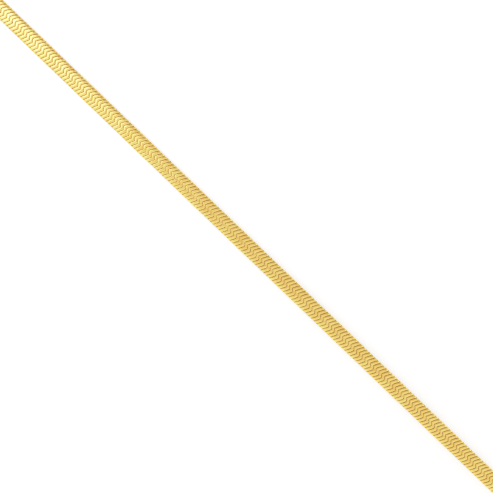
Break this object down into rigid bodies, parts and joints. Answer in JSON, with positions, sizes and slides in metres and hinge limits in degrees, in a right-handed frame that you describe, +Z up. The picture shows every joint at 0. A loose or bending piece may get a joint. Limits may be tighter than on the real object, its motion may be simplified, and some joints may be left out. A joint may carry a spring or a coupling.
{
  "type": "flat snake chain necklace",
  "caption": "Flat, yellow-gold coloured snake chain necklace, fastened with a lobster claw clasp and laid flat in a closed loop.",
  "frame": {"origin": "on the surface that the necklace lies on, under the middle of its whole footprint", "axes": "+X along the straight front stretch of the chain, towards the side of the claw's nose; +Y from the front stretch towards the clasp; +Z up from the surface"},
  "size_m": [0.1812, 0.0918, 0.003],
  "materials": {
    "chain_metal": "polished yellow-gold plating over small close links, darker in the grooves between them",
    "fitting_metal": "polished yellow-gold plating"
  },
  "bodies": {
    "root": {"chain": "chain_metal", "end_cap_left": "fitting_metal", "end_cap_right": "fitting_metal", "jump_ring": "fitting_metal", "end_ring": "fitting_metal", "clasp": "fitting_metal"}
  },
  "joints": []
}
